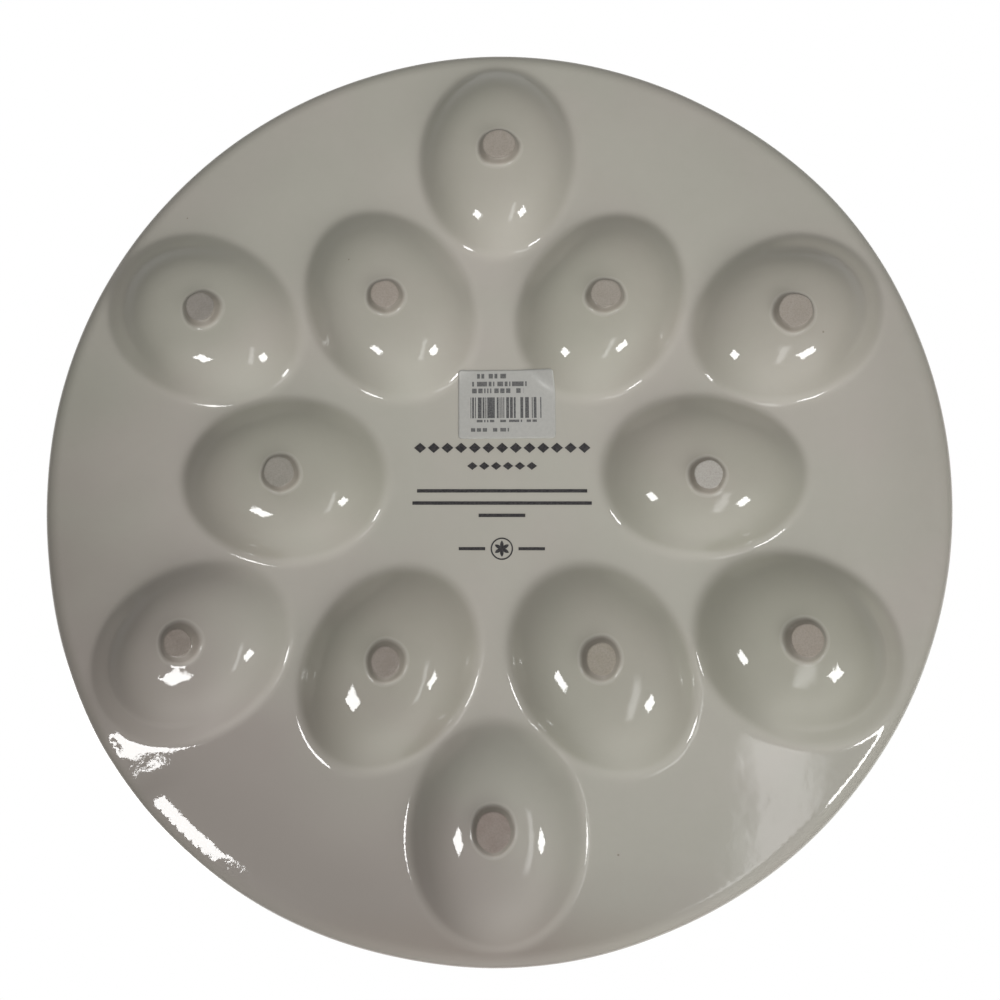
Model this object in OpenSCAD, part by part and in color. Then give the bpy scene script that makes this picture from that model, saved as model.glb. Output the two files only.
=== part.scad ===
// Deviled egg platter: a round glazed ceramic platter with twelve egg wells,
// six in an inner ring and six in an outer ring, standing on twelve bare feet.
// Millimetres. +Z is up with the platter face up, as it is used. The origin is
// on the table, under the middle of the platter. +Y points to the well that is
// at the top when the back is looked at.

/* [Platter] */
// Diameter over the rolled edge
platter_d = 304.8; // [300:0.1:330]
// Height of the flat underside above the table
deck_under = 13.6; // [12.8:0.1:15]
// Thickness of the deck and the rim
deck_t = 5; // [4:0.1:6]
// Radius at which the rim starts to rise
rim_start_r = 114; // [110:0.5:120]
// How far the rim rises from the deck to its edge
rim_rise = 4.2; // [3:0.1:7]

/* [Egg wells] */
// Radius of the inner ring, to the middle of its wells
inner_ring_r = 69.0; // [68.5:0.1:69.5]
// Radius of the outer ring, to the middle of its wells
outer_ring_r = 110.2; // [110:0.1:111]
// Wells in each ring
wells_per_ring = 6; // [4:1:6]
// Turn of the outer ring against the inner ring, in degrees
ring_turn = 30; // [29:0.5:31]
// Half the length of a well's outside where it meets the flat underside
cup_half_l = 32; // [31:0.1:32.3]
// Half the width of a well's outside where it meets the flat underside
cup_half_w = 26.2; // [25.5:0.1:26.6]
// Wall of a well
cup_wall = 4.8; // [3.8:0.1:5.2]
// How far a well's rounded bottom is cut back to the flat that its foot stands on
pad_cut = 1.2; // [0.9:0.1:1.5]

/* [Feet] */
// Height of a foot below the flat on its well
nub_h = 2.6; // [1.5:0.1:3]
// Diameter of a foot where it meets the table
nub_face_d = 10; // [9:0.1:12]
// Diameter of a foot where it meets its well
nub_base_d = 12.8; // [12:0.1:14]
// How far the feet sit inward of the middle of their wells
nub_inward = 1.5; // [0:0.1:2]

/* [Price label] */
// Width of the label
label_w = 31.8; // [20:0.1:34]
// Height of the label
label_h = 23.0; // [15:0.1:24]
// Thickness of the label
label_t = 0.2; // [0.15:0.05:0.4]
// Radius of the label's corners
label_corner = 1.2; // [0.5:0.1:3]
// How far the label's middle lies towards -X
label_x = 4.1; // [-5:0.1:5]
// How far the label's middle lies towards +Y
label_y = 24.8; // [24:0.1:26]

/* [Printed backstamp] */
// Thickness of the printed film
stamp_t = 0.1; // [0.08:0.02:0.2]
// Length of the printed band and of the longest rule
stamp_w = 58; // [50:0.5:60]
// How far the middle of the printed block lies towards -X
stamp_x = 2.6; // [0:0.1:3]
// Middle of the band at the block's upper edge, in Y
stamp_top = 10.2; // [9.5:0.1:10.5]

/* [Hidden] */
$fn = 96;

platter_r = platter_d / 2;
deck_top = deck_under + deck_t;
edge_r = deck_t / 2;
rim_end_r = platter_r - edge_r;
rim_angle = atan2(rim_rise, rim_end_r - rim_start_r);
edge_z = deck_under + edge_r + rim_rise;

// A well's outside is an arc turned about the well's long axis. The axis lies
// axis_z above the table. The arc's radius is arc_r, and its middle is
// arc_r - cup_r beyond the axis, so the solid is lemon-shaped.
cup_bottom = nub_h - pad_cut;
cup_depth = deck_under - cup_bottom;
cup_r = (cup_depth * cup_depth + cup_half_w * cup_half_w) / (2 * cup_depth);
arc_r = (cup_depth * cup_depth + cup_half_l * cup_half_l) / (2 * cup_depth);
axis_z = cup_bottom + cup_r;

ceramic = [0.66, 0.64, 0.59];
bisque = [0.60, 0.52, 0.46];
paper = [0.87, 0.87, 0.86];
ink = [0.12, 0.11, 0.11];

function well_step() = 360 / wells_per_ring;
function inner_places() = [for (i = [0 : wells_per_ring - 1]) [inner_ring_r, i * well_step()]];
function outer_places() = [for (i = [0 : wells_per_ring - 1]) [outer_ring_r, i * well_step() + ring_turn]];
function well_places() = concat(inner_places(), outer_places());

rim_below = [rim_end_r + edge_r * sin(rim_angle), edge_z - edge_r * cos(rim_angle)];
rim_above = [rim_end_r - edge_r * sin(rim_angle), edge_z + edge_r * cos(rim_angle)];
top_knee = [rim_start_r - deck_t * tan(rim_angle / 2), deck_top];

// Half of the deck and the rim, to be turned about Z. The rolled edge is a
// circle that the two faces of the rim run into.
module deck_section() {
    polygon([
        [0, deck_under], [rim_start_r, deck_under], rim_below,
        [rim_end_r, edge_z], rim_above, top_knee, [0, deck_top]
    ]);
    translate([rim_end_r, edge_z]) circle(r = edge_r);
}

// The lemon-shaped solid of one well, its long axis along X through the origin.
// shrink moves its whole surface inward.
module egg_solid(shrink) {
    reach = arc_r - shrink;
    off = arc_r - cup_r;
    half = sqrt(reach * reach - off * off);
    rotate([0, 90, 0])
        rotate_extrude(angle = 360)
            intersection() {
                translate([-off, 0]) circle(r = reach);
                translate([0, -half - 1]) square([reach, 2 * half + 2]);
            }
}

// Puts its children at every well, turned so that X points outward.
module at_wells(inward = 0) {
    for (p = well_places())
        rotate([0, 0, p[1]]) translate([p[0] - inward, 0, 0]) children();
}

// Everything under the deck and the rim, down to the flats that the feet stand
// on. It trims the wells.
module under_deck() {
    rotate_extrude()
        polygon([
            [0, nub_h], [rim_below[0], nub_h], rim_below,
            [rim_start_r, deck_under], [0, deck_under]
        ]);
}

// The flat deck and its rising rim, open over every well.
module deck_and_rim() {
    color(ceramic)
    difference() {
        rotate_extrude() deck_section();
        at_wells()
            translate([0, 0, axis_z]) egg_solid(cup_wall);
    }
}

// The wells. Each is a bowl of even wall that meets the deck's underside face
// to face and runs on smoothly into the opening above it.
module egg_wells() {
    color(ceramic)
        for (p = well_places())
            intersection() {
                under_deck();
                rotate([0, 0, p[1]]) translate([p[0], 0, axis_z])
                    difference() {
                        egg_solid(0);
                        egg_solid(cup_wall);
                    }
            }
}

module foot_nub() {
    cylinder(h = nub_h, d1 = nub_face_d, d2 = nub_base_d);
}

module foot_nubs() {
    color(bisque) at_wells(nub_inward) foot_nub();
}

module rounded_plate(w, h, t, r) {
    linear_extrude(t)
        union() {
            square([w - 2 * r, h], center = true);
            square([w, h - 2 * r], center = true);
            for (x = [-1, 1], y = [-1, 1])
                translate([x * (w / 2 - r), y * (h / 2 - r)]) circle(r = r, $fn = 32);
        }
}

// The label lies against the flat underside. Its corner by the nearest well is
// cut back to that well's flank.
module price_label() {
    color(paper)
    difference() {
        translate([-label_x, label_y, deck_under - label_t])
            rounded_plate(label_w, label_h, label_t, label_corner);
        for (p = inner_places())
            rotate([0, 0, p[1]]) translate([p[0], 0, axis_z]) egg_solid(0);
    }
}

// A plain printed ornament: a chain of lozenges, a shorter chain, three rules,
// and a six-petal rosette in a ring with a bar on each side. Each is a film of
// its own against the flat underside.
module rule(w, h, y, x = 0) {
    translate([x - w / 2, y - h / 2]) square([w, h]);
}

module lozenge_chain(w, h, n, y) {
    step = w / n;
    for (i = [0 : n - 1])
        translate([(i + 0.5) * step - w / 2, y])
            polygon([[-step * 0.44, 0], [0, -h / 2], [step * 0.44, 0], [0, h / 2]]);
}

module rosette(r) {
    difference() {
        circle(r = r);
        circle(r = r - 0.45);
    }
    for (i = [0 : 5])
        rotate(i * 60 + 30)
            intersection() {
                translate([r * 0.36, r * 0.32]) circle(r = r * 0.48);
                translate([r * 0.36, -r * 0.32]) circle(r = r * 0.48);
            }
}

module backstamp_decal() {
    color(ink)
        translate([-stamp_x, stamp_top, deck_under - stamp_t])
            linear_extrude(stamp_t) {
                lozenge_chain(stamp_w, 3.4, 13, 0);
                lozenge_chain(stamp_w * 0.40, 2.6, 6, -6.0);
                rule(stamp_w * 0.95, 1.1, -14.2);
                rule(stamp_w, 1.1, -18.2);
                rule(stamp_w * 0.26, 1.1, -22.2);
                translate([0, -33]) rosette(3.6);
                for (x = [-1, 1]) rule(8.5, 1.0, -33, x * 9.6);
            }
}

deck_and_rim();
egg_wells();
foot_nubs();
price_label();
backstamp_decal();
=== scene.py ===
import math

import bpy
import numpy as np
from mathutils import Matrix, Vector
from mathutils.geometry import delaunay_2d_cdt


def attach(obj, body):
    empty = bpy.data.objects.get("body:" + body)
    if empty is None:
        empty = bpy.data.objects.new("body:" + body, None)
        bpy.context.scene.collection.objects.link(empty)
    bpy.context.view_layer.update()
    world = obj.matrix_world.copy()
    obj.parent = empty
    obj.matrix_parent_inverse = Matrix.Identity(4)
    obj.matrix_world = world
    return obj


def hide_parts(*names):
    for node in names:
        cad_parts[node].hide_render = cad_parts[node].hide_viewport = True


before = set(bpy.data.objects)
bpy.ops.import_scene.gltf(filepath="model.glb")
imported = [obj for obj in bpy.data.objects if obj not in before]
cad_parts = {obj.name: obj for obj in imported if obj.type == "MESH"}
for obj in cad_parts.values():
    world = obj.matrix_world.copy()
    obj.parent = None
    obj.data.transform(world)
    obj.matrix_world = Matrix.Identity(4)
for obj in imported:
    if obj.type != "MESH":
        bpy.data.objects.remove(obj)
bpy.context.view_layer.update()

# ---------------------------------------------------------------------------
# Frames. Shapes are worked out in "plan" millimetres: X to the right and Y up
# in the view of the back, and z the height above the table. In the row frame
# x = -X, y = Y, z = z.
# ---------------------------------------------------------------------------
UNDER = 13.6      # the flat underside above the table
TOP = 18.6        # the flat top above the table
BOTTOM = 2.8      # the flats that the feet stand on


def row(X, Y, z):
    return np.stack([-np.asarray(X), np.asarray(Y), np.asarray(z)], -1) * 0.001


# ---------------------------------------------------------------------------
# Camera, below the platter: the view of its back.
# ---------------------------------------------------------------------------
def view_matrix():
    rx, ry, rz = -0.1483, -0.0202, 0.0
    a = Matrix.Rotation(rx, 3, "X")
    b = Matrix.Rotation(ry, 3, "Y")
    c = Matrix.Rotation(rz, 3, "Z")
    return c @ b @ a


def plan_dir(v):
    return Vector((-v[0], v[1], -v[2]))


def plan_point(p):
    return Vector((-p[0], p[1], UNDER - p[2])) * 0.001


VIEW = view_matrix()
SHRINK = 0.9935
eye = VIEW.transposed() @ Vector((1.945, -6.9449, 330.0)) * SHRINK
cam_data = bpy.data.cameras.new("camera")
cam_data.sensor_width = 36.0
cam_data.lens = 1010.463 * 36.0 / 1000.0
cam_data.clip_start, cam_data.clip_end = 0.01, 20.0
cam = bpy.data.objects.new("camera", cam_data)
bpy.context.scene.collection.objects.link(cam)
axes = [plan_dir(VIEW.transposed() @ Vector(e)) for e in ((1, 0, 0), (0, 1, 0), (0, 0, 1))]
rot = Matrix(axes).transposed().to_4x4()
cam.matrix_world = Matrix.Translation(plan_point(eye)) @ rot
bpy.context.scene.camera = cam

# ---------------------------------------------------------------------------
# The casting as two height fields, the underside and the top, joined by a
# rolled edge.
# ---------------------------------------------------------------------------
# Wells: middle, direction of the long axis in degrees, half length and half
# width of the outline on the back, change of width outward, and how clear a
# ledge runs round the outer end. No two wells of the
# hand-finished casting are quite the same.
WELLS = [
    # X, Y, angle, a, b, taper, ledge
    (0.8, 109.6, 89.1, 34.2, 26.7, 0.017, 0.0),
    (95.9, 53.4, 30.2, 33.2, 27.2, 0.035, 0.85),
    (95.6, -53.7, -30.5, 33.8, 29.3, 0.017, 0.9),
    (1.2, -111.0, -90.6, 34.3, 27.2, 0.013, 0.0),
    (-95.5, -55.2, -148.7, 33.0, 26.7, 0.025, 0.65),
    (-96.4, 53.7, 149.6, 34.3, 27.6, 0.040, 0.6),
    (-35.0, 59.0, 119.3, 34.4, 27.1, -0.037, 0.0),
    (35.5, 58.3, 60.8, 33.7, 26.4, -0.030, 0.0),
    (67.9, 1.3, 0.8, 33.4, 26.5, -0.048, 0.0),
    (34.5, -60.6, -59.6, 34.5, 27.8, -0.031, 0.0),
    (-33.0, -60.8, -120.7, 33.8, 26.6, -0.019, 0.0),
    (-68.0, -0.3, 179.8, 33.7, 27.3, -0.028, 0.0),
]
# Feet, one for each well: middle, radius of the bare face, radius where the
# foot meets its well, how much wider than tall, and the colour of the clay.
FEET = [
    (1.4, 108.9, 5.00, 6.65, 0.050, (0.295, 0.265, 0.228)),
    (95.8, 52.0, 5.30, 6.60, 0.000, (0.314, 0.282, 0.244)),
    (95.2, -51.8, 4.95, 6.80, 0.000, (0.304, 0.269, 0.228)),
    (0.5, -108.2, 5.50, 6.90, -0.085, (0.269, 0.224, 0.198)),
    (-96.3, -53.1, 4.20, 6.90, 0.000, (0.240, 0.206, 0.178)),
    (-94.4, 53.9, 4.50, 6.45, 0.000, (0.248, 0.232, 0.209)),
    (-35.0, 57.9, 4.40, 6.00, 0.000, (0.309, 0.273, 0.236)),
    (35.8, 57.8, 4.60, 6.10, 0.045, (0.291, 0.265, 0.228)),
    (66.9, -0.9, 4.40, 5.80, 0.000, (0.405, 0.389, 0.357)),
    (33.0, -57.6, 4.70, 6.60, -0.050, (0.300, 0.273, 0.224)),
    (-32.5, -58.6, 4.45, 6.45, -0.050, (0.256, 0.224, 0.195)),
    (-67.0, 0.0, 4.70, 6.00, 0.000, (0.278, 0.265, 0.232)),
]


def smooth(t):
    t = np.clip(t, 0.0, 1.0)
    return t * t * (3.0 - 2.0 * t)


def smoother(t):
    t = np.clip(t, 0.0, 1.0)
    return t * t * t * (t * (6.0 * t - 15.0) + 10.0)


MEAN = 31.0       # mean radius of a well's outline


def slope_table(distance, degrees):
    """Share of the full depth against the distance in from the outline."""
    mm = np.linspace(distance[0], MEAN, 1600)
    ang = np.interp(mm, distance, degrees)
    k = np.exp(-(np.arange(-24, 25) / 12.0) ** 2)
    ang = np.convolve(np.pad(ang, 24, mode="edge"), k / k.sum(), "valid")
    t = np.tan(np.radians(ang))
    h = np.concatenate([[0.0], np.cumsum((t[1:] + t[:-1]) / 2 * np.diff(mm))])
    return mm, h / h[-1], h[-1]


UNDER_S, UNDER_P, under_h = slope_table(
    [-2.7, -2.0, -1.1, 0.2, 1.4, 2.6, 4.0, 6.0, 8, 11, 14, 17, 20, 24, 28, 31],
    [0, 2, 9, 25, 37.5, 42, 41.5, 38, 33, 25.5, 18, 11.5, 7, 3.4, 1.5, 0])
# the same at an outer end with a ledge: a short slope, the ledge, then the flank
END_S, END_P, end_h = slope_table(
    [-2.8, -1.6, -0.4, 0.8, 2.0, 3.2, 4.6, 5.8, 7.2, 9.2, 12, 15, 18, 22, 26, 31],
    [0, 7, 24, 23, 13, 9, 12, 29, 39, 38, 29.5, 20, 11.5, 6, 2.6, 0])
TOP_S, TOP_P, top_h = slope_table(
    [-2.6, -1.5, 0.5, 2.0, 4.0, 6.0, 9.0, 13.0, 18.0, 24.0, 31.0],
    [0, 6, 28, 42, 46, 43, 33, 22, 12, 5, 0])
print("profile depths", round(under_h, 2), round(end_h, 2), round(top_h, 2))


def edge_radius(th):
    """Outer radius of the hand-trimmed edge against the plan angle."""
    r = np.array([149.2, 149.3, 149.6, 150.4, 150.9, 150.6, 150.3, 150.6, 150.9, 151.0, 150.7, 150.3,
                  150.1, 149.9, 149.5, 149.3, 149.0, 148.7, 148.3, 148.3, 149.4, 150.9, 151.7, 151.8,
                  152.2, 151.9, 151.6, 151.9, 151.6, 150.9, 150.7, 150.4, 150.0, 149.8, 149.5, 149.3])
    deg = np.degrees(th) % 360.0
    # a periodic curve through the readings, one every ten degrees
    out = np.zeros_like(deg)
    w = 0.0
    for k in range(-3, 4):
        g = math.exp(-(k / 1.8) ** 2)
        out = out + g * np.interp((deg + 2.0 * k) % 360.0, np.arange(0.0, 361.0, 10.0), np.append(r, r[0]))
        w += g
    return out / w


def waves(X, Y, seed, size, count=9):
    """A soft unevenness, about -1 to 1, with waves about size mm long."""
    g = np.random.default_rng(seed)
    out = np.zeros_like(np.asarray(X, float))
    for _ in range(count):
        th = g.uniform(0, 2 * math.pi)
        k = 2 * math.pi / (size * g.uniform(0.7, 1.5))
        out = out + np.sin(k * (X * math.cos(th) + Y * math.sin(th)) + g.uniform(0, 2 * math.pi))
    return out / (0.9 * math.sqrt(count) * 1.2)


def local(w, X, Y):
    """Coordinates outward and across, from the middle of well w."""
    ang = math.radians(w[2])
    c, s = math.cos(ang), math.sin(ang)
    return (X - w[0]) * c + (Y - w[1]) * s, -(X - w[0]) * s + (Y - w[1]) * c


def plan(w, p, q):
    ang = math.radians(w[2])
    c, s = math.cos(ang), math.sin(ang)
    return w[0] + p * c - q * s, w[1] + p * s + q * c


def rho(w, X, Y, shrink=0.0):
    a, b, t = w[3] - shrink, w[4] - shrink, w[5]
    p, q = local(w, X, Y)
    return np.sqrt((p / a) ** 2 + (q / (b * (1.0 + t * np.clip(p / a, -1.4, 1.4)))) ** 2)


def outer_end(w, X, Y):
    """1 at the outer end of a well, 0 along its sides and at its inner end."""
    p, q = local(w, X, Y)
    return smoother((p / np.maximum(np.hypot(p, q), 1e-6) + 0.15) / 0.95)


EDGE_BAND = 5.8     # how far in from the edge the underside starts to roll over
ROLL = 4.4          # how far the roll takes it up
# slope of the rim's underside against the radius, in degrees
RIM_R = np.array([84.0, 100.0, 112.0, 122.0, 130.0, 137.0, 145.0, 153.0])
RIM_A = np.array([0.0, 0.2, 0.5, 0.7, 0.8, 1.0, 1.2, 1.2])
_r = np.linspace(80.0, 153.0, 500)
_t = np.tan(np.radians(np.interp(_r, RIM_R, RIM_A)))
_k = np.exp(-(np.arange(-20, 21) / 10.0) ** 2)
_t = np.convolve(np.pad(_t, 20, mode="edge"), _k / _k.sum(), "valid")
RISE_AT = _r
RISE_Z = np.concatenate([[0.0], np.cumsum((_t[1:] + _t[:-1]) / 2 * np.diff(_r))])
print("rim rise", round(float(RISE_Z[-1]), 2))


def rim_rise(r):
    """How far the rim has risen at radius r."""
    return np.interp(r, RISE_AT, RISE_Z)


SAG_R = np.array([108.0, 112, 118, 125, 130, 135, 140, 142.8, 144.6, 146.4, 153])
SAG_A = np.array([0.0, -0.5, -1.3, -2.2, -2.7, -2.9, -2.9, -2.7, 0.0, 2.8, 3.0])
FLAT_A = np.array([0.0, -0.5, -1.3, -2.2, -2.0, -0.9, -0.7, -0.6, 0.5, 2.0, 3.0])


def integral(degrees):
    t = np.tan(np.radians(np.interp(_r, SAG_R, degrees)))
    return np.concatenate([[0.0], np.cumsum((t[1:] + t[:-1]) / 2 * np.diff(_r))])


SAG_Z, FLAT_Z = integral(SAG_A), integral(FLAT_A)


def rim_sag(r, th):
    """The rim sags a little on one side, before it turns up to its edge."""
    deg = np.degrees(th) % 360.0
    share = 1.0 - smooth((np.abs(deg - 226.0) - 22.0) / 26.0)
    # a flat web of glaze runs out to the edge from the nearest well
    out = np.clip((r - 130.5) / 15.0, -0.2, 1.0)
    web = 1.0 - smooth((np.abs(deg - (221.6 - 2.7 * out)) - (0.3 + 1.1 * np.clip(out, 0, 1))) / 4.0)
    sag = np.interp(r, RISE_AT, SAG_Z)
    return (sag + (np.interp(r, RISE_AT, FLAT_Z) - sag) * web) * share


def under_base(X, Y):
    r = np.hypot(X, Y)
    th = np.arctan2(Y, X)
    e = edge_radius(th)
    z = UNDER + rim_rise(r) + rim_sag(r, th)
    deg = np.degrees(th) % 360.0
    band = EDGE_BAND - 1.7 * (1.0 - smooth((np.abs(deg - 225.5) - 8.5) / 8.0))
    t = np.clip((r - (e - band)) / band, 0, 0.94)
    z = z + ROLL * (1.0 - np.sqrt(1.0 - t * t))
    # flat where the label and the print lie
    return z + 0.12 * waves(X, Y, 5, 46.0) * smooth((r - 46) / 24) * (1 - 0.6 * smooth((r - 120) / 20))


def foot_shape(i, th):
    """Radius of foot i's face against the angle, as a share of its mean."""
    g = np.random.default_rng(40 + i)
    out = 1.0 + FEET[i][4] * np.cos(2 * th)
    for k in (2, 3, 5):
        out = out + g.uniform(0.006, 0.016) * np.cos(k * th + g.uniform(0, 6.28))
    return out


# how much each well is darkened: thicker, greener glaze, and painted shade set well by well
GLAZE_AND_SHADE = (0.48, 0.63, 0.82, 0.12, 0.18, 0.42, 0.48, 0.69, 0.72, 0.68, 0.80, 0.69)

FOOT_TOP = 0.42     # where the glaze starts on a foot


def foot_share(i, X, Y):
    """1 on the face of foot i, 0 on the well round it."""
    cx, cy, face, base = FEET[i][:4]
    dx, dy = X - cx, Y - cy
    q = np.hypot(dx, dy) / foot_shape(i, np.arctan2(dy, dx)) - face
    t = np.clip(q / (base - face + 0.5), 0, 1)
    return (1 + np.cos(np.pi * t ** 0.80)) / 2


def depth_share(X, Y):
    """0 on the deck, 1 in the middle of a well."""
    keep = np.ones_like(X)
    for w in WELLS:
        keep = keep * (1.0 - np.interp((1.0 - rho(w, X, Y)) * MEAN, UNDER_S, UNDER_P, left=0.0))
    return 1.0 - keep


def under(X, Y, feet=True):
    X, Y = np.asarray(X, float), np.asarray(Y, float)
    base = under_base(X, Y)
    keep = np.ones_like(base)
    for w in WELLS:
        d = (1.0 - rho(w, X, Y)) * MEAN
        share = np.interp(d, UNDER_S, UNDER_P, left=0.0)
        if w[6]:
            ledge = np.interp(d, END_S, END_P, left=0.0)
            share = share + (ledge - share) * outer_end(w, X, Y) * w[6]
        keep = keep * (1.0 - share)
    level = BOTTOM + 0.10 * waves(X, Y, 11, 30.0)
    z = level + (base - level) * keep
    if feet:
        for i in range(len(FEET)):
            z = z + (FOOT_TOP - z) * foot_share(i, X, Y)
    return z


def top_base(X, Y):
    r = np.hypot(X, Y)
    e = edge_radius(np.arctan2(Y, X))
    z = TOP + 3.6 * smooth((r - 108.0) / 56.0) / smooth((149.0 - 108.0) / 56.0)
    t = np.clip((r - (e - 3.2)) / 3.2, 0, 0.9)
    z = z - 1.3 * (1.0 - np.sqrt(1.0 - t * t))
    return z + 0.08 * waves(X, Y, 21, 55.0)


FLOOR = 6.6


def top(X, Y):
    X, Y = np.asarray(X, float), np.asarray(Y, float)
    base = top_base(X, Y)
    keep = np.ones_like(base)
    for w in WELLS:
        d = (1.0 - rho(w, X, Y, 3.3)) * MEAN - 2.2 * w[6] * outer_end(w, X, Y)
        P = np.interp(d, TOP_S, TOP_P, left=0.0)
        keep = keep * (1.0 - P)
    level = FLOOR + 0.06 * waves(X, Y, 31, 34.0)
    return level + (base - level) * keep


def ring(n, phase=0.0):
    return (np.arange(n) + phase) * 2 * math.pi / n


EDGE_N = 540


def points(side):
    """Plan points for one face, dense where it bends, with the boundary ring last."""
    shrink = 0.0 if side == "under" else 2.6
    fine = np.arange(-0.165, 0.44, 0.0275)
    coarse = np.array([0.47, 0.53, 0.60, 0.67, 0.75, 0.83, 0.91])
    keepx, keepy = [], []

    def add(x, y):
        keepx.append(np.atleast_1d(x))
        keepy.append(np.atleast_1d(y))

    for i, w in enumerate(WELLS):
        a, b, t = w[3] - shrink, w[4] - shrink, w[5]
        for k, s in enumerate(list(fine) + list(coarse)):
            rr = 1.0 - s
            n = 124 if s < 0.45 else max(14, int(124 * rr * 0.9))
            th = ring(n, 0.5 * (k % 2))
            p = a * rr * np.cos(th)
            q = b * rr * np.sin(th) * (1.0 + t * np.clip(p / a, -1.4, 1.4))
            x, y = plan(w, p, q)
            ok = np.hypot(x, y) < edge_radius(np.arctan2(y, x)) - 2.4
            for j, v in enumerate(WELLS):
                if j != i:
                    ok &= rho(v, x, y, shrink) > rr + 0.012
            if side == "under":
                ok &= np.hypot(x - FEET[i][0], y - FEET[i][1]) > FEET[i][3] + 1.3
            add(x[ok], y[ok])
        if side == "under":
            cx, cy, face, foot_base = FEET[i][:4]
            add(np.array([cx]), np.array([cy]))
            span = foot_base - face + 0.5
            for k, q in enumerate([-3.0, -0.4, 0.0] + [span * v for v in (0.07, 0.17, 0.28, 0.40, 0.52, 0.65, 0.80, 0.98)] + [span + 0.7]):
                n = 16 if q < -1 else 48
                th = ring(n, 0.5 * (k % 2))
                rad = (face + q) * foot_shape(i, th)
                add(cx + rad * np.cos(th), cy + rad * np.sin(th))
        else:
            x, y = plan(w, np.array([0.0]), np.array([0.0]))
            add(x, y)
    # the deck between the wells, on a hexagonal grid
    h = 3.6
    gx, gy = [], []
    rows = int(125 / (h * 0.866)) + 1
    for j in range(-rows, rows + 1):
        for i in range(-40, 41):
            gx.append((i + 0.5 * (j % 2)) * h)
            gy.append(j * h * 0.866)
    gx, gy = np.array(gx), np.array(gy)
    ok = np.hypot(gx, gy) < 112.5
    for w in WELLS:
        ok &= rho(w, gx, gy, shrink) > 1.205
    add(gx[ok], gy[ok])
    # the rim in rings, closer together towards the edge
    rings = [(114.5, 210), (118, 216), (121.5, 222), (125, 230), (128.5, 236), (132, 244), (135.5, 250), (139, 260), (142, 300)]
    for k, (rr, n) in enumerate(rings):
        th = ring(n, 0.5 * (k % 2))
        x, y = rr * np.cos(th), rr * np.sin(th)
        ok = np.ones(n, bool)
        for w in WELLS:
            ok &= rho(w, x, y, shrink) > 1.195
        add(x[ok], y[ok])
    for k, d in enumerate([7.2, 6.2, 5.3, 4.5, 3.7, 3.0]):
        th = ring(EDGE_N if d < 5 else EDGE_N // 2, 0.5 * (k % 2))
        rr = edge_radius(th) - d
        x, y = rr * np.cos(th), rr * np.sin(th)
        ok = np.ones(len(th), bool)
        for w in WELLS[:6]:
            ok &= rho(w, x, y, shrink) > 1.18
        add(x[ok], y[ok])
    th = ring(EDGE_N)
    rr = edge_radius(th) - 1.9
    add(rr * np.cos(th), rr * np.sin(th))
    return np.concatenate(keepx), np.concatenate(keepy)


def triangles(x, y):
    n = len(x)
    v = [Vector((float(a), float(b))) for a, b in zip(x, y)]
    first = n - EDGE_N
    edges = [(first + i, first + (i + 1) % EDGE_N) for i in range(EDGE_N)]
    out = delaunay_2d_cdt(v, edges, [], 1, 1e-7)
    vo, fo, orig = out[0], out[2], out[3]
    co = np.array([(p[0], p[1]) for p in vo])
    tri = np.array([f for f in fo if len(f) == 3])
    # the place of each boundary point in the result
    back = {}
    for k, src in enumerate(orig):
        for s in src:
            back[s] = k
    bound = np.array([back[first + i] for i in range(EDGE_N)])
    return co[:, 0], co[:, 1], tri, bound


def normals_of(f, x, y, sign):
    h = 0.03
    dx = (f(x + h, y) - f(x - h, y)) / (2 * h)
    dy = (f(x, y + h) - f(x, y - h)) / (2 * h)
    n = np.stack([-dx, -dy, np.ones_like(dx)], -1) * sign
    return n / np.linalg.norm(n, axis=1, keepdims=True)


def bend_of(f, x, y, h=0.9):
    return (f(x + h, y) + f(x - h, y) + f(x, y + h) + f(x, y - h) - 4 * f(x, y)) / (h * h)


ux, uy, utri, ubound = triangles(*points("under"))
tx, ty, ttri, tbound = triangles(*points("top"))
uz, tz = under(ux, uy), top(tx, ty)
un, tn = normals_of(under, ux, uy, -1.0), normals_of(top, tx, ty, 1.0)
ub, tb = bend_of(under, ux, uy), -bend_of(top, tx, ty)

# the rolled edge: rings from the underside's boundary round to the top's
th = ring(EDGE_N)
e = edge_radius(th)
zu, zt = uz[ubound], tz[tbound]
su = (under((e - 1.9) * np.cos(th), (e - 1.9) * np.sin(th)) - under((e - 2.0) * np.cos(th), (e - 2.0) * np.sin(th))) / 0.1
st = (top((e - 1.9) * np.cos(th), (e - 1.9) * np.sin(th)) - top((e - 2.0) * np.cos(th), (e - 2.0) * np.sin(th))) / 0.1
mid = zu + (zt - zu) * 0.68
strip_r, strip_z = [], []
ts = np.linspace(0, 1, 7)[1:]


def bezier(p0, p1, p2, p3, t):
    return (1 - t) ** 3 * p0 + 3 * (1 - t) ** 2 * t * p1 + 3 * (1 - t) * t * t * p2 + t ** 3 * p3


for t in ts:
    strip_r.append(bezier(e - 1.9, e - 1.9 + 1.05, e, e, t))
    strip_z.append(bezier(zu, zu + su * 1.05, mid - (mid - zu) * 0.45, mid, t))
for t in ts[:-1]:
    strip_r.append(bezier(e, e, e - 1.9 + 1.05, e - 1.9, t))
    strip_z.append(bezier(mid, mid + (zt - mid) * 0.52, zt + st * 1.05, zt, t))
nu, nt = len(ux), len(tx)
ex = np.concatenate([r * np.cos(th) for r in strip_r])
ey = np.concatenate([r * np.sin(th) for r in strip_r])
ez = np.concatenate(strip_z)

verts = np.concatenate([row(ux, uy, uz), row(tx, ty, tz), row(ex, ey, ez)])
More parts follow.
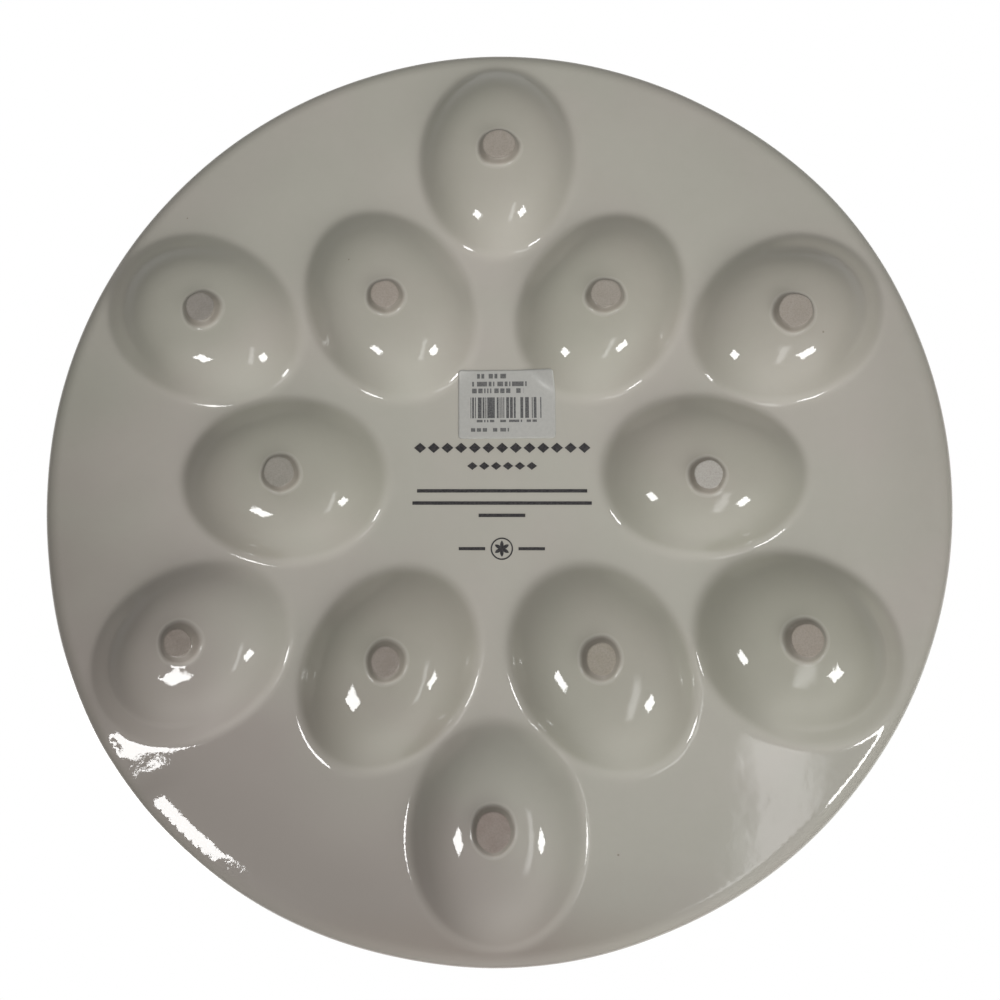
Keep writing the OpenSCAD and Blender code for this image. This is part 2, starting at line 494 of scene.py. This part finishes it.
# mirroring x turns the triangles over, so the underside keeps its order
faces = [tuple(int(k) for k in t) for t in utri]
faces += [tuple(int(k) + nu for k in t[::-1]) for t in ttri]
loops = [ubound] + [nu + nt + k * EDGE_N + np.arange(EDGE_N) for k in range(len(strip_r))] + [nu + tbound]
for a, b in zip(loops[:-1], loops[1:]):
    for i in range(EDGE_N):
        j = (i + 1) % EDGE_N
        faces.append((int(a[i]), int(b[i]), int(b[j]), int(a[j])))


def make_mesh(name, verts, faces):
    me = bpy.data.meshes.new(name)
    me.from_pydata([tuple(map(float, v)) for v in verts], [], faces)
    me.update()
    ob = bpy.data.objects.new(name, me)
    bpy.context.scene.collection.objects.link(ob)
    for p in me.polygons:
        p.use_smooth = True
    return ob


body = make_mesh("platter_body", verts, faces)
me = body.data


def signed_volume(me):
    v = np.zeros(len(me.vertices) * 3)
    me.vertices.foreach_get("co", v)
    v = v.reshape(-1, 3)
    me.calc_loop_triangles()
    t = np.zeros(len(me.loop_triangles) * 3, int)
    me.loop_triangles.foreach_get("vertices", t)
    t = t.reshape(-1, 3)
    return float(np.einsum("ij,ij->i", v[t[:, 0]], np.cross(v[t[:, 1]], v[t[:, 2]])).sum() / 6), len(t)


vol, ntri = signed_volume(me)
if vol < 0:
    me.flip_normals()
    vol = -vol
print("body volume ml", round(vol * 1e6, 1), "triangles", ntri, "thinnest height", round(float((top(ux, uy) - uz).min()), 2))

# true normals on both faces; the edge rings take the mesh's own
me.update()
own = np.zeros(len(me.vertices) * 3, np.float32)
me.vertices.foreach_get("normal", own)
own = own.reshape(-1, 3)
un_row, tn_row = un * np.array([-1, 1, 1]), tn * np.array([-1, 1, 1])
print("thinnest wall", round(float(((top(ux, uy) - uz) * np.abs(un[:, 2]))[np.hypot(ux, uy) < 147].min()), 2))
own[:nu] = un_row
own[nu:nu + nt] = tn_row
me.normals_split_custom_set_from_vertices([tuple(map(float, n)) for n in own])

# how the surface bends, and where the glaze pools or thins
bend = np.concatenate([ub, tb, np.zeros(len(ex))])
att = me.attributes.new("bend", "FLOAT", "POINT")
att.data.foreach_set("value", np.clip(bend, -1.5, 1.5).astype(np.float32))

# the sides of the feet, where the glaze is thin over the clay; the tint drawn from this also paints shade over the
# fillet round each foot
side = np.zeros_like(ux)
for i in range(len(FEET)):
    side = np.maximum(side, foot_share(i, ux, uy))
side = np.concatenate([side, np.zeros(len(tx) + len(ex))])
att = me.attributes.new("side", "FLOAT", "POINT")
att.data.foreach_set("value", side.astype(np.float32))
# darkening over each well: thicker glaze and painted shade
pool_and_shade = np.zeros_like(ux)
for w, k in zip(WELLS, GLAZE_AND_SHADE):
    pool_and_shade = np.maximum(pool_and_shade, k * smooth(((1.0 - rho(w, ux, uy)) * MEAN + 2.0) / 4.5))
pool_and_shade = np.concatenate([pool_and_shade, np.zeros(len(tx) + len(ex))])
att = me.attributes.new("pool_and_shade", "FLOAT", "POINT")
att.data.foreach_set("value", pool_and_shade.astype(np.float32))

# ---------------------------------------------------------------------------
# Feet
# ---------------------------------------------------------------------------
fv, ff, fclay = [], [], []
for i in range(len(FEET)):
    cx, cy, face = FEET[i][:3]
    n = 64
    th_f = ring(n)
    shape = foot_shape(i, th_f)
    prof = [(0.30, 0.0), (0.60, 0.0), (0.86, 0.0), (0.955, 0.012), (0.985, 0.06), (1.0, 0.16), (1.004, 0.5), (1.0, 1.3)]
    start = len(fv)
    fv.append((cx, cy, 0.0))
    for k, (q, z) in enumerate(prof):
        rad = face * q * shape
        for a in range(n):
            fv.append((cx + rad[a] * math.cos(th_f[a]), cy + rad[a] * math.sin(th_f[a]), z))
    fv.append((cx, cy, 1.3))
    for a in range(n):
        b = (a + 1) % n
        ff.append((start, start + 1 + a, start + 1 + b))
        for k in range(len(prof) - 1):
            o = start + 1 + k * n
            ff.append((o + a, o + n + a, o + n + b, o + b))
        o = start + 1 + (len(prof) - 1) * n
        ff.append((start + 1 + len(prof) * n, o + b, o + a))
    fclay += [(*FEET[i][5], 1.0)] * (len(fv) - start)
fv = np.array(fv)
feet = make_mesh("foot_nubs_bisque", row(fv[:, 0], fv[:, 1], fv[:, 2]), ff)
v, _ = signed_volume(feet.data)
if v < 0:
    feet.data.flip_normals()
att = feet.data.attributes.new("clay", "FLOAT_COLOR", "POINT")
att.data.foreach_set("color", np.array(fclay, np.float32).reshape(-1))

# ---------------------------------------------------------------------------
# Label: a thin sheet that follows the back, and climbs a well's flank at one
# corner by its own length.
# ---------------------------------------------------------------------------
LW, LH, LC = 31.8, 23.0, 1.2
LX, LY, LT = 4.1, 24.8, math.radians(0.4)


def label_bed(X, Y):
    """The surface that the paper lies on: it can't follow a tight hollow."""
    z = under(X, Y, feet=False)
    m = np.zeros_like(z)
    for k in range(8):
        a = k * math.pi / 4
        m = m + under(X + 1.8 * math.cos(a), Y + 1.8 * math.sin(a), feet=False)
    return np.minimum(z, m / 8)


nx_, ny_ = 54, 40
gu = np.linspace(-1, 1, nx_ + 1)
gv = np.linspace(-1, 1, ny_ + 1)
U, V = np.meshgrid(gu * LW / 2, gv * LH / 2, indexing="ij")
# rounded corners: the last millimetre of each corner is drawn onto an arc
cu = np.clip((np.abs(U) - (LW / 2 - LC)) / LC, 0, 1)
cv = np.clip((np.abs(V) - (LH / 2 - LC)) / LC, 0, 1)
both = (cu > 0) & (cv > 0)
nu2 = np.where(both, cu * np.sqrt(1 - cv * cv / 2), cu)
nv2 = np.where(both, cv * np.sqrt(1 - cu * cu / 2), cv)
U = np.where(both, np.sign(U) * (LW / 2 - LC + LC * nu2), U)
V = np.where(both, np.sign(V) * (LH / 2 - LC + LC * nv2), V)
# march from the label's foot out to each point, by length on the surface
U0, V0 = 0.35 * U, 0.35 * V - 2.0
dU, dV = U - U0, V - V0
L = np.hypot(dU, dV)
dirx = (dU * math.cos(LT) - dV * math.sin(LT)) / np.maximum(L, 1e-9)
diry = (dU * math.sin(LT) + dV * math.cos(LT)) / np.maximum(L, 1e-9)
PX = LX + U0 * math.cos(LT) - V0 * math.sin(LT)
PY = LY + U0 * math.sin(LT) + V0 * math.cos(LT)
STEPS = 80
zprev = label_bed(PX, PY)
for _ in range(STEPS):
    ds = L / STEPS
    slope = (label_bed(PX + dirx * 0.05, PY + diry * 0.05) - zprev) / 0.05
    k = ds / np.sqrt(1 + slope * slope)
    PX, PY = PX + dirx * k, PY + diry * k
    zprev = label_bed(PX, PY)
PZ = zprev
paper = 0.13
lv, lf, luv = [], [], []
front = row(PX, PY, PZ - 0.05 - paper).reshape(-1, 3)
backs = row(PX, PY, PZ - 0.05).reshape(-1, 3)
lv = np.concatenate([front, backs])
m = (nx_ + 1) * (ny_ + 1)
idx = np.arange(m).reshape(nx_ + 1, ny_ + 1)
for i in range(nx_):
    for j in range(ny_):
        a, b, c, d = idx[i, j], idx[i + 1, j], idx[i + 1, j + 1], idx[i, j + 1]
        lf.append((a, b, c, d))
        lf.append((d + m, c + m, b + m, a + m))
for i in range(nx_):
    lf.append((idx[i + 1, 0], idx[i, 0], idx[i, 0] + m, idx[i + 1, 0] + m))
    lf.append((idx[i, ny_], idx[i + 1, ny_], idx[i + 1, ny_] + m, idx[i, ny_] + m))
for j in range(ny_):
    lf.append((idx[0, j], idx[0, j + 1], idx[0, j + 1] + m, idx[0, j] + m))
    lf.append((idx[nx_, j + 1], idx[nx_, j], idx[nx_, j] + m, idx[nx_, j + 1] + m))
lf = [tuple(int(k) for k in f) for f in lf]
label = make_mesh("price_label_paper", lv, lf)
v, _ = signed_volume(label.data)
if v < 0:
    label.data.flip_normals()
uvl = label.data.uv_layers.new(name="print")
uv_of = np.stack([np.tile(U.reshape(-1), 2), np.tile(V.reshape(-1), 2)], -1)
for lo in label.data.loops:
    u_, v_ = uv_of[lo.vertex_index]
    uvl.data[lo.index].uv = (float(u_), float(v_))
side = label.data.attributes.new("front", "FLOAT", "POINT")
side.data.foreach_set("value", np.concatenate([np.ones(m), np.zeros(m)]).astype(np.float32))
for p in label.data.polygons:
    if len(set(v < m for v in p.vertices)) == 2:
        p.use_smooth = False


# ---------------------------------------------------------------------------
# Materials
# ---------------------------------------------------------------------------
class Nodes:
    def __init__(self, name):
        self.mat = bpy.data.materials.new(name)
        self.mat.use_nodes = True
        self.t = self.mat.node_tree
        self.t.nodes.clear()
        self.out = self.add("ShaderNodeOutputMaterial")

    def add(self, kind, **inputs):
        n = self.t.nodes.new(kind)
        for k, v in inputs.items():
            if hasattr(n, k) and k not in n.inputs:
                setattr(n, k, v)
        return n

    def link(self, a, b):
        self.t.links.new(a, b)

    def math(self, op, a, b=None, c=None, clamp=False):
        n = self.t.nodes.new("ShaderNodeMath")
        n.operation = op
        n.use_clamp = clamp
        for i, v in enumerate((a, b, c)):
            if v is None:
                continue
            if isinstance(v, (int, float)):
                n.inputs[i].default_value = v
            else:
                self.link(v, n.inputs[i])
        return n.outputs[0]

    def mix(self, fac, a, b, blend="MIX"):
        n = self.t.nodes.new("ShaderNodeMix")
        n.data_type = "RGBA"
        n.blend_type = blend
        if isinstance(fac, (int, float)):
            n.inputs[0].default_value = fac
        else:
            self.link(fac, n.inputs[0])
        for s, v in ((6, a), (7, b)):
            if isinstance(v, tuple):
                n.inputs[s].default_value = (*v, 1.0)
            else:
                self.link(v, n.inputs[s])
        return n.outputs[2]

    def noise(self, vec, scale, detail=2.0, rough=0.5, distortion=0.0, dim="3D"):
        n = self.t.nodes.new("ShaderNodeTexNoise")
        n.noise_dimensions = dim
        n.inputs["Scale"].default_value = scale
        n.inputs["Detail"].default_value = detail
        n.inputs["Roughness"].default_value = rough
        n.inputs["Distortion"].default_value = distortion
        if vec is not None:
            self.link(vec, n.inputs["Vector"])
        return n

    def span(self, v, a, b, c=0.0, d=1.0, kind="LINEAR"):
        n = self.t.nodes.new("ShaderNodeMapRange")
        n.interpolation_type = kind
        self.link(v, n.inputs[0])
        for i, k in enumerate((a, b, c, d)):
            n.inputs[i + 1].default_value = k
        return n.outputs[0]

    def bump(self, height, strength, distance, normal=None):
        n = self.t.nodes.new("ShaderNodeBump")
        n.inputs["Strength"].default_value = strength
        n.inputs["Distance"].default_value = distance
        self.link(height, n.inputs["Height"])
        if normal is not None:
            self.link(normal, n.inputs["Normal"])
        return n.outputs[0]


def glaze_material():
    m = Nodes("warm_grey_glaze")
    obj = m.t.nodes.new("ShaderNodeTexCoord").outputs["Object"]
    bend = m.t.nodes.new("ShaderNodeAttribute")
    bend.attribute_name = "bend"
    b = bend.outputs["Fac"]
    wide = m.noise(obj, 16.0, 2.0, 0.5, 0.4).outputs["Fac"]
    patch = m.noise(obj, 55.0, 3.0, 0.55, 0.3).outputs["Fac"]
    cloud = m.noise(obj, 260.0, 3.0, 0.6).outputs["Fac"]
    base = m.mix(m.span(wide, 0.35, 0.68, 0, 1, "SMOOTHSTEP"), (0.416, 0.405, 0.354), (0.430, 0.401, 0.362))
    base = m.mix(m.span(patch, 0.40, 0.75, 0, 0.45), base, (0.400, 0.384, 0.336))
    base = m.mix(m.span(cloud, 0.35, 0.75, 0, 0.20), base, (0.450, 0.430, 0.385))
    # painted shade: darker towards the lower left of the back; the slight pink there is the glaze's own colour
    place = m.t.nodes.new("ShaderNodeSeparateXYZ")
    m.link(obj, place.inputs[0])
    low = m.math("MULTIPLY_ADD", place.outputs[0], 0.5, m.math("MULTIPLY", place.outputs[1], -0.87))
    low = m.math("ADD", low, m.span(wide, 0.3, 0.7, -0.014, 0.014))
    base = m.mix(m.span(low, 0.062, 0.128, 0, 0.85, "SMOOTHSTEP"), base, (0.322, 0.286, 0.262))
    # painted shade: a little darker towards the rim, most at the lower edge
    radius = m.t.nodes.new("ShaderNodeVectorMath")
    radius.operation = "LENGTH"
    m.link(obj, radius.inputs[0])
    rim = m.math("MULTIPLY", m.span(radius.outputs["Value"], 0.118, 0.142, 0, 1, "SMOOTHSTEP"), m.span(place.outputs[1], 0.03, 0.11, 1, 0, "SMOOTHSTEP"))
    base = m.mix(rim, base, (0.948, 0.950, 0.945), "MULTIPLY")
    base = m.mix(m.span(place.outputs[1], -0.128, -0.148, 0, 1, "SMOOTHSTEP"), base, (0.93, 0.90, 0.87), "MULTIPLY")
    # painted shade along the left side of the rim
    flank = m.math("MULTIPLY", m.span(place.outputs[0], 0.092, 0.122, 0, 1, "SMOOTHSTEP"), m.span(m.math("ABSOLUTE", place.outputs[1]), 0.022, 0.052, 1, 0, "SMOOTHSTEP"))
    base = m.mix(flank, base, (0.942, 0.940, 0.935), "MULTIPLY")
    # it lies thicker and greener over the wells, and the darkening there is also painted shade
    pool_and_shade = m.t.nodes.new("ShaderNodeAttribute")
    pool_and_shade.attribute_name = "pool_and_shade"
    base = m.mix(pool_and_shade.outputs["Fac"], base, (0.800, 0.803, 0.760), "MULTIPLY")
    # glaze pools in the hollows, and thins where the clay bends outward
    base = m.mix(m.span(b, 0.03, 0.50, 0, 0.42), base, (0.330, 0.320, 0.272))
    base = m.mix(m.span(b, -0.04, -0.40, 0, 0.30), base, (0.47, 0.44, 0.395))
    # thin over the brown clay on the sides of the feet, and painted shade over the lit fillet round each foot
    side = m.t.nodes.new("ShaderNodeAttribute")
    side.attribute_name = "side"
    base = m.mix(m.span(side.outputs["Fac"], 0.02, 0.40, 0, 0.66), base, (0.225, 0.192, 0.162))
    # a few specks of iron in the glaze
    vor = m.t.nodes.new("ShaderNodeTexVoronoi")
    vor.inputs["Scale"].default_value = 105.0
    m.link(obj, vor.inputs["Vector"])
    pick = m.t.nodes.new("ShaderNodeSeparateColor")
    m.link(vor.outputs["Color"], pick.inputs[0])
    size = m.math("MULTIPLY", m.math("GREATER_THAN", pick.outputs[0], 0.93), m.span(pick.outputs[1], 0, 1, 0.015, 0.045))
    speck = m.math("LESS_THAN", vor.outputs["Distance"], size)
    base = m.mix(m.math("MULTIPLY", speck, 0.55), base, (0.16, 0.13, 0.10))
    # surface: orange peel, long soft flow, and pinholes
    peel = m.noise(obj, 1150.0, 2.0, 0.55).outputs["Fac"]
    flow = m.noise(obj, 150.0, 2.0, 0.5).outputs["Fac"]
    pin = m.t.nodes.new("ShaderNodeTexVoronoi")
    pin.inputs["Scale"].default_value = 190.0
    m.link(obj, pin.inputs["Vector"])
    pc = m.t.nodes.new("ShaderNodeSeparateColor")
    m.link(pin.outputs["Color"], pc.inputs[0])
    hole = m.math("MULTIPLY", m.math("GREATER_THAN", pc.outputs[2], 0.965), m.span(pin.outputs["Distance"], 0.0, 0.10, 1, 0, "SMOOTHSTEP"))
    n1 = m.bump(flow, 1.0, 0.00006)
    n2 = m.bump(peel, 1.0, 0.000009, n1)
    n3 = m.bump(hole, -1.0, 0.00018, n2)
    p = m.t.nodes.new("ShaderNodeBsdfPrincipled")
    m.link(base, p.inputs["Base Color"])
    p.inputs["Roughness"].default_value = 0.42
    p.inputs["IOR"].default_value = 1.45
    p.inputs["Specular IOR Level"].default_value = 0.25
    p.inputs["Coat Weight"].default_value = 1.0
    p.inputs["Coat Roughness"].default_value = 0.012
    p.inputs["Coat IOR"].default_value = 1.60
    m.link(n1, p.inputs["Normal"])
    m.link(n3, p.inputs["Coat Normal"])
    m.link(p.outputs[0], m.out.inputs[0])
    return m.mat


def bisque_material():
    m = Nodes("bare_clay")
    obj = m.t.nodes.new("ShaderNodeTexCoord").outputs["Object"]
    clay = m.t.nodes.new("ShaderNodeAttribute")
    clay.attribute_name = "clay"
    c = clay.outputs["Color"]
    grain = m.noise(obj, 1700.0, 4.0, 0.65).outputs["Fac"]
    blot = m.noise(obj, 240.0, 3.0, 0.6, 0.6).outputs["Fac"]
    c = m.mix(m.span(blot, 0.35, 0.70, 0, 0.30), c, (0.385, 0.350, 0.315))
    c = m.mix(m.span(grain, 0.42, 0.75, 0.0, 0.40), c, (0.190, 0.160, 0.138), "MIX")
    n = m.bump(blot, 0.6, 0.00015)
    n = m.bump(grain, 0.8, 0.00009, n)
    p = m.t.nodes.new("ShaderNodeBsdfPrincipled")
    m.link(c, p.inputs["Base Color"])
    m.link(m.span(grain, 0.3, 0.7, 0.62, 0.88), p.inputs["Roughness"])
    p.inputs["Specular IOR Level"].default_value = 0.35
    m.link(n, p.inputs["Normal"])
    m.link(p.outputs[0], m.out.inputs[0])
    return m.mat


def label_material():
    m = Nodes("label_paper")
    uv = m.t.nodes.new("ShaderNodeUVMap")
    uv.uv_map = "print"
    xy = m.t.nodes.new("ShaderNodeSeparateXYZ")
    m.link(uv.outputs[0], xy.inputs[0])
    x, y = xy.outputs[0], xy.outputs[1]
    obj = m.t.nodes.new("ShaderNodeTexCoord").outputs["Object"]

    def band(v, lo, hi, soft=0.06):
        a = m.span(v, lo - soft, lo + soft, 0, 1)
        b = m.span(v, hi - soft, hi + soft, 1, 0)
        return m.math("MULTIPLY", a, b)

    def random_cells(v, step, seed, share):
        cell = m.math("FLOOR", m.math("DIVIDE", m.math("ADD", v, 40.0 + seed), step))
        w = m.t.nodes.new("ShaderNodeTexWhiteNoise")
        w.noise_dimensions = "1D"
        m.link(cell, w.inputs["W"])
        return m.math("LESS_THAN", w.outputs["Value"], share)

    # upright bars of uneven width
    bars = m.math("MULTIPLY", random_cells(x, 0.31, 3.3, 0.56), m.math("MULTIPLY", band(x, -11.9, 11.3), band(y, -4.7, 2.3)))
    ink = bars
    # short plain rules above and below, broken into dashes
    for yy, x0, x1, s, hh in ((9.45, -11.4, -0.2, 1.0, 0.8), (6.8, -11.4, 6.6, 2.0, 0.8), (4.5, -11.4, 5.6, 4.0, 0.8),
                              (-5.65, -10.6, 9.8, 6.0, 0.42), (-8.6, -12.4, 0.9, 5.0, 0.6)):
        dash = random_cells(x, 0.48, s * 7.7, 0.62)
        r = m.math("MULTIPLY", dash, m.math("MULTIPLY", band(x, x0, x1), band(y, yy - hh, yy + hh)))
        ink = m.math("MAXIMUM", ink, m.math("MULTIPLY", r, 0.92))
    front = m.t.nodes.new("ShaderNodeAttribute")
    front.attribute_name = "front"
    ink = m.math("MULTIPLY", ink, m.math("GREATER_THAN", front.outputs["Fac"], 0.5))
    fade = m.noise(obj, 2400.0, 2.0, 0.6).outputs["Fac"]
    ink = m.math("MULTIPLY", ink, m.span(fade, 0.25, 0.7, 1.0, 0.72))
    fibre = m.noise(obj, 900.0, 3.0, 0.6).outputs["Fac"]
    paper = m.mix(m.span(fibre, 0.3, 0.7, 0, 1), (0.420, 0.416, 0.393), (0.386, 0.382, 0.361))
    c = m.mix(ink, paper, (0.045, 0.045, 0.05))
    n = m.bump(fibre, 0.5, 0.00002)
    p = m.t.nodes.new("ShaderNodeBsdfPrincipled")
    m.link(c, p.inputs["Base Color"])
    p.inputs["Roughness"].default_value = 0.30
    p.inputs["Specular IOR Level"].default_value = 0.5
    m.link(n, p.inputs["Normal"])
    m.link(p.outputs[0], m.out.inputs[0])
    return m.mat


def ink_material():
    m = Nodes("fired_print")
    obj = m.t.nodes.new("ShaderNodeTexCoord").outputs["Object"]
    grain = m.noise(obj, 1500.0, 3.0, 0.6).outputs["Fac"]
    peel = m.noise(obj, 1150.0, 2.0, 0.55).outputs["Fac"]
    c = m.mix(m.span(grain, 0.35, 0.70, 0, 1), (0.020, 0.019, 0.022), (0.060, 0.056, 0.056))
    p = m.t.nodes.new("ShaderNodeBsdfPrincipled")
    m.link(c, p.inputs["Base Color"])
    p.inputs["Roughness"].default_value = 0.30
    p.inputs["Coat Weight"].default_value = 0.6
    p.inputs["Coat Roughness"].default_value = 0.06
    m.link(m.bump(peel, 1.0, 0.00002), p.inputs["Normal"])
    m.link(p.outputs[0], m.out.inputs[0])
    return m.mat


body.data.materials.append(glaze_material())
feet.data.materials.append(bisque_material())
label.data.materials.append(label_material())
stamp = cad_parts["backstamp_decal"]
stamp.data.materials.clear()
stamp.data.materials.append(ink_material())

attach(body, "root"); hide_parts("deck_and_rim", "egg_wells")
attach(feet, "root"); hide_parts("foot_nubs")
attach(label, "root"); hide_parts("price_label")

# ---------------------------------------------------------------------------
# Floor: a pale plane under the feet. It can be seen from above only, so the
# view from below looks past it, and it takes no part in the light below.
# ---------------------------------------------------------------------------
fl = make_mesh("floor", [(-6, -6, -0.0004), (6, -6, -0.0004), (6, 6, -0.0004), (-6, 6, -0.0004)], [(0, 1, 2, 3)])
fm = Nodes("pale_floor")
geo = fm.t.nodes.new("ShaderNodeNewGeometry")
dif = fm.t.nodes.new("ShaderNodeBsdfDiffuse")
dif.inputs["Color"].default_value = (0.80, 0.79, 0.775, 1)
tra = fm.t.nodes.new("ShaderNodeBsdfTransparent")
mx = fm.t.nodes.new("ShaderNodeMixShader")
fm.link(geo.outputs["Backfacing"], mx.inputs[0])
far_white = fm.t.nodes.new("ShaderNodeEmission")
far_white.inputs["Color"].default_value = (1, 1, 1, 1)
far_white.inputs["Strength"].default_value = 1.0
spot = fm.t.nodes.new("ShaderNodeVectorMath")
spot.operation = "LENGTH"
fm.link(fm.t.nodes.new("ShaderNodeTexCoord").outputs["Object"], spot.inputs[0])
fade = fm.t.nodes.new("ShaderNodeMixShader")
fm.link(fm.span(spot.outputs["Value"], 0.30, 2.2, 0, 1, "SMOOTHSTEP"), fade.inputs[0])
fm.link(dif.outputs[0], fade.inputs[1])
fm.link(far_white.outputs[0], fade.inputs[2])
fm.link(fade.outputs[0], mx.inputs[1])
fm.link(tra.outputs[0], mx.inputs[2])
fm.link(mx.outputs[0], fm.out.inputs[0])
fl.data.materials.append(fm.mat)
fl.visible_diffuse = False
fl.visible_glossy = False
fl.visible_transmission = False
fl.visible_shadow = False

# ---------------------------------------------------------------------------
# Light
# ---------------------------------------------------------------------------
scene = bpy.context.scene
scene.view_settings.view_transform = "Standard"
scene.view_settings.look = "None"
world = bpy.data.worlds.new("studio")
scene.world = world
world.use_nodes = True
wt = world.node_tree
wt.nodes.clear()


def wnode(kind):
    return wt.nodes.new(kind)


def wmath(op, a, b=None, clamp=False):
    n = wnode("ShaderNodeMath")
    n.operation = op
    n.use_clamp = clamp
    for i, v in enumerate((a, b)):
        if v is None:
            continue
        if isinstance(v, (int, float)):
            n.inputs[i].default_value = v
        else:
            wt.links.new(v, n.inputs[i])
    return n.outputs[0]


def wdot(vec):
    n = wnode("ShaderNodeVectorMath")
    n.operation = "DOT_PRODUCT"
    wt.links.new(wdir, n.inputs[0])
    n.inputs[1].default_value = vec
    return n.outputs["Value"]


LOBE_GAIN = 1.185
wdir = wnode("ShaderNodeTexCoord").outputs["Generated"]
level = None
# soft lobes of light: direction in the view of the back (X right, Y up, Z
# towards the viewer), and strength
LOBES = [
    (0.0, 0.0, 1.0, 0.078),
    (0.27, -0.50, 0.82, 0.303),
    (-0.50, -0.76, 0.42, 0.105),
    (0.14, -0.89, 0.42, 0.595),
    (0.76, -0.50, 0.42, 0.012),
    (0.0, -1.0, -0.09, 0.355),
    (0.70, -0.70, -0.09, 0.012),
]
for x_, y_, z_, k_ in LOBES:
    n_ = math.sqrt(x_ * x_ + y_ * y_ + z_ * z_)
    lobe = wmath("POWER", wmath("MAXIMUM", wdot((-x_ / n_, y_ / n_, -z_ / n_)), 0.0), 5.0)
    lobe = wmath("MULTIPLY", lobe, k_ * LOBE_GAIN)
    level = lobe if level is None else wmath("ADD", level, lobe)
above = wmath("MULTIPLY", wmath("ADD", wdot((0, 0, 1)), 0.10), 1.12)
level = wmath("MAXIMUM", level, above)
bg = wnode("ShaderNodeBackground")
wt.links.new(level, bg.inputs["Strength"])
bg.inputs["Color"].default_value = (1.0, 0.985, 0.955, 1)
white = wnode("ShaderNodeBackground")
white.inputs["Color"].default_value = (1, 1, 1, 1)
white.inputs["Strength"].default_value = 1.0
path = wnode("ShaderNodeLightPath")
wmix = wnode("ShaderNodeMixShader")
wt.links.new(path.outputs["Is Camera Ray"], wmix.inputs[0])
wt.links.new(bg.outputs[0], wmix.inputs[1])
wt.links.new(white.outputs[0], wmix.inputs[2])
wout = wnode("ShaderNodeOutputWorld")
wt.links.new(wmix.outputs[0], wout.inputs[0])


def area(name, plan_pos, size, power, turn=0.0, size_y=None, target=(0, 0, 0), colour=(1, 1, 1)):
    """An area light at a plan position in millimetres, Z towards the viewer of the back."""
    d = bpy.data.lights.new(name, "AREA")
    d.shape = "RECTANGLE" if size_y else "SQUARE"
    d.size = size
    if size_y:
        d.size_y = size_y
    d.energy = power
    d.color = colour
    o = bpy.data.objects.new(name, d)
    scene.collection.objects.link(o)
    o.location = plan_point(plan_pos)
    aim = (plan_point(target) - o.location).normalized()
    q = aim.to_track_quat("-Z", "Y")
    o.rotation_mode = "QUATERNION"
    o.rotation_quaternion = q @ Matrix.Rotation(turn, 3, "Z").to_quaternion()
    o.visible_camera = False
    return o


def far(direction, distance):
    v = Vector(direction).normalized() * distance
    return tuple(v)


area("panel_left", far((-0.495, -0.342, 1), 958), 0.155, 1.05, math.radians(8))
area("panel_right", far((0.660, -0.354, 1), 1352), 0.215, 1.9, math.radians(-17))
# a dim upright strip between the two
area("strip", far((0.348, -0.305, 1), 1200), 0.13, 0.20, math.radians(-53), 0.52)
area("strip_middle", far((0.348, -0.305, 1), 1195), 0.075, 0.15, math.radians(-53), 0.44)


def dull(name, plan_pos, size, power, size_y=None):
    """A fill that lights the piece but isn't mirrored in it."""
    o = area(name, plan_pos, size, power, 0.0, size_y)
    o.visible_glossy = False
    return o


def at(dist, el, az):
    e_, a_ = math.radians(el), math.radians(az)
    return (dist * math.cos(e_) * math.cos(a_), dist * math.cos(e_) * math.sin(a_), dist * math.sin(e_))


dull("key", at(1500, 27, -60), 1.5, 4.0, 0.45)
dull("key_near", at(450, 30, -27), 0.12, 0.26)
dull("fill_front", (45, 55, 266), 0.08, 0.225)
dull("fill_top", (-50, 246, 244), 0.08, 0.14)
# above, for the face
area("soft_above", (350, 420, -1500), 0.8, 7.0, 0.3)
area("fill_above", (-900, -500, -1100), 0.7, 2.6, 0.0)
